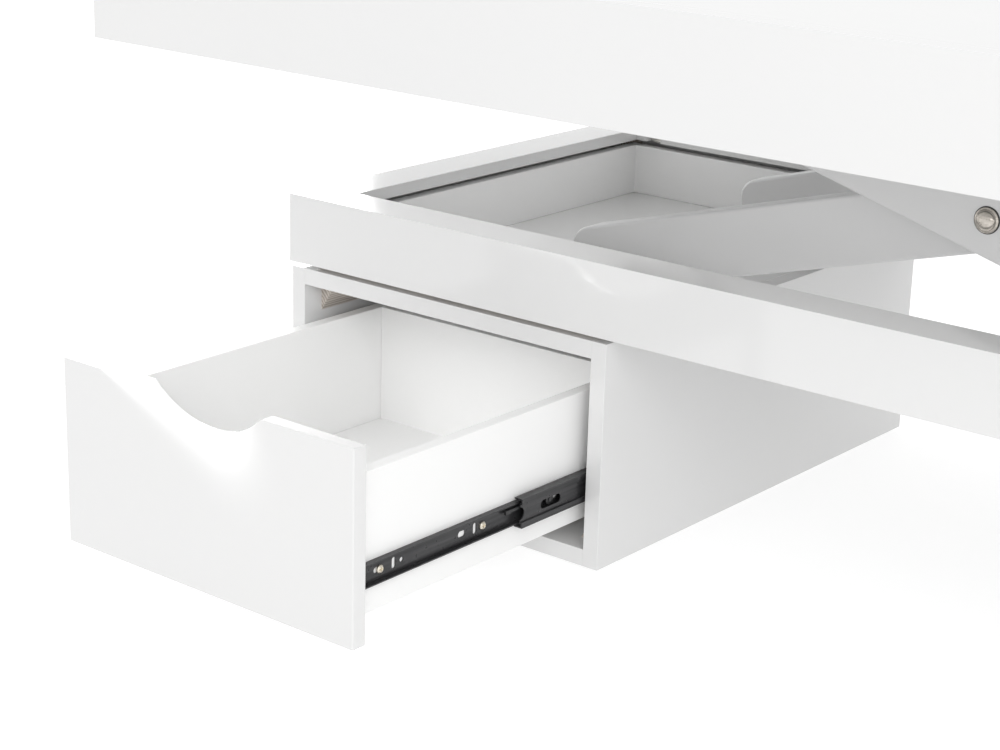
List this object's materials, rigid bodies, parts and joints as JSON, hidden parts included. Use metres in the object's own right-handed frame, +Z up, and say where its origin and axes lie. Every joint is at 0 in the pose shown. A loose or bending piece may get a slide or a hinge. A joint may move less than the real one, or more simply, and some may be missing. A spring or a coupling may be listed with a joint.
{
  "type": "lift top coffee table",
  "caption": "White lift top coffee table: a hollow top on a scissor lift over a ring frame and drawer cabinets with scooped fronts on ball slides.",
  "frame": {"origin": "on the floor, under the middle of the whole table's box with the left drawer out as drawn", "axes": "+X along the table to the right, +Y to the back, +Z up"},
  "size_m": [1.55, 0.992, 0.533],
  "materials": {
    "gloss_white": "gloss",
    "satin_white": "satin",
    "arm_grey": "satin",
    "slide_black": "satin",
    "lever_black": "satin",
    "zinc_steel": "satin",
    "chrome": "gloss",
    "raw_wood": "matte",
    "roller_nylon": "matte",
    "glide_plastic": "matte",
    "spring_steel": "satin"
  },
  "bodies": {
    "base": {"rail_front": "gloss_white", "rail_back": "gloss_white", "rail_left": "gloss_white", "rail_right": "gloss_white", "corner_blocks": "raw_wood", "ring_battens": "raw_wood", "left_cabinet_top": "gloss_white", "left_cabinet_bottom": "gloss_white", "left_cabinet_sides": "gloss_white", "left_cabinet_back": "satin_white", "right_cabinet_top": "gloss_white", "right_cabinet_bottom": "gloss_white", "right_cabinet_sides": "gloss_white", "right_cabinet_back": "satin_white", "floor_glides": "glide_plastic", "tray_walls": "satin_white", "catch_plate": "zinc_steel", "lower_brackets": "zinc_steel", "lower_tracks": "zinc_steel", "lower_pins": "zinc_steel", "cabinet_slide_members": "slide_black", "frame_screws": "zinc_steel"},
    "arms_a": {"arm_a_near": "arm_grey", "arm_a_far": "arm_grey", "centre_tube": "arm_grey", "centre_bolts": "chrome", "arm_washers": "roller_nylon", "upper_roller_axles": "zinc_steel"},
    "arms_b": {"arm_b_near": "arm_grey", "arm_b_far": "arm_grey", "lower_roller_axle": "zinc_steel"},
    "top": {"top_panel": "gloss_white", "top_aprons": "gloss_white", "top_underside": "satin_white", "upper_brackets": "zinc_steel", "upper_tracks": "zinc_steel", "upper_axle": "zinc_steel", "lift_springs": "spring_steel", "top_bumpers": "roller_nylon"},
    "lower_rollers": {"lower_rollers": "roller_nylon"},
    "upper_rollers": {"upper_rollers": "roller_nylon"},
    "left_drawer": {"left_drawer_front": "gloss_white", "left_drawer_sides": "satin_white", "left_drawer_back": "satin_white", "left_drawer_bottom": "satin_white", "left_drawer_members": "slide_black", "left_drawer_screws": "zinc_steel"},
    "left_slide": {"left_slide_middles": "slide_black", "left_slide_cages": "zinc_steel"},
    "left_levers": {"left_slide_levers": "lever_black"},
    "right_drawer": {"right_drawer_front": "gloss_white", "right_drawer_sides": "satin_white", "right_drawer_back": "satin_white", "right_drawer_bottom": "satin_white", "right_drawer_members": "slide_black", "right_drawer_screws": "zinc_steel"},
    "right_slide": {"right_slide_middles": "slide_black", "right_slide_cages": "zinc_steel"},
    "right_levers": {"right_slide_levers": "lever_black"}
  },
  "joints": [
    {"name": "lift", "type": "hinge", "parent": "base", "child": "arms_a", "pos_m": [-0.39692, 0.071, 0.2525], "axis": [0, -1, 0], "range_deg": [-10.63, 8.45]},
    {"name": "scissor_centre", "type": "hinge", "parent": "arms_a", "child": "arms_b", "pos_m": [0, 0.071, 0.36295], "axis": [0, -1, 0], "range_deg": [-17, 21.4]},
    {"name": "top_pivot", "type": "hinge", "parent": "arms_b", "child": "top", "pos_m": [-0.39692, 0.071, 0.4734], "axis": [0, -1, 0], "range_deg": [-10.8, 8.6]},
    {"name": "lower_roller_spin", "type": "hinge", "parent": "arms_b", "child": "lower_rollers", "pos_m": [0.39692, 0.071, 0.2525], "axis": [0, 1, 0], "continuous": true},
    {"name": "upper_roller_spin", "type": "hinge", "parent": "arms_a", "child": "upper_rollers", "pos_m": [0.39692, 0.071, 0.4734], "axis": [0, 1, 0], "continuous": true},
    {"name": "left_drawer_slide", "type": "slide", "parent": "base", "child": "left_drawer", "axis": [0, -1, 0], "range_m": [-0.298, 0.042]},
    {"name": "left_middle_slide", "type": "slide", "parent": "base", "child": "left_slide", "axis": [0, -1, 0], "range_m": [-0.149, 0.021]},
    {"name": "left_lever_release", "type": "hinge", "parent": "left_drawer", "child": "left_levers", "pos_m": [-0.491, -0.239, 0.0775], "axis": [1, 0, 0], "range_deg": [-2, 6], "stiffness_Nm_per_rad": 0.05},
    {"name": "right_drawer_slide", "type": "slide", "parent": "base", "child": "right_drawer", "axis": [0, -1, 0], "range_m": [0, 0.34]},
    {"name": "right_middle_slide", "type": "slide", "parent": "base", "child": "right_slide", "axis": [0, -1, 0], "range_m": [0, 0.17]},
    {"name": "right_lever_release", "type": "hinge", "parent": "right_drawer", "child": "right_levers", "pos_m": [0.491, 0.059, 0.0775], "axis": [1, 0, 0], "range_deg": [-2, 6], "stiffness_Nm_per_rad": 0.05}
  ],
  "couplings": [
    {"joint": "scissor_centre", "follows": "lift", "ratio": -2},
    {"joint": "top_pivot", "follows": "lift", "ratio": 1},
    {"joint": "left_middle_slide", "follows": "left_drawer_slide", "ratio": 0.5},
    {"joint": "right_middle_slide", "follows": "right_drawer_slide", "ratio": 0.5}
  ]
}
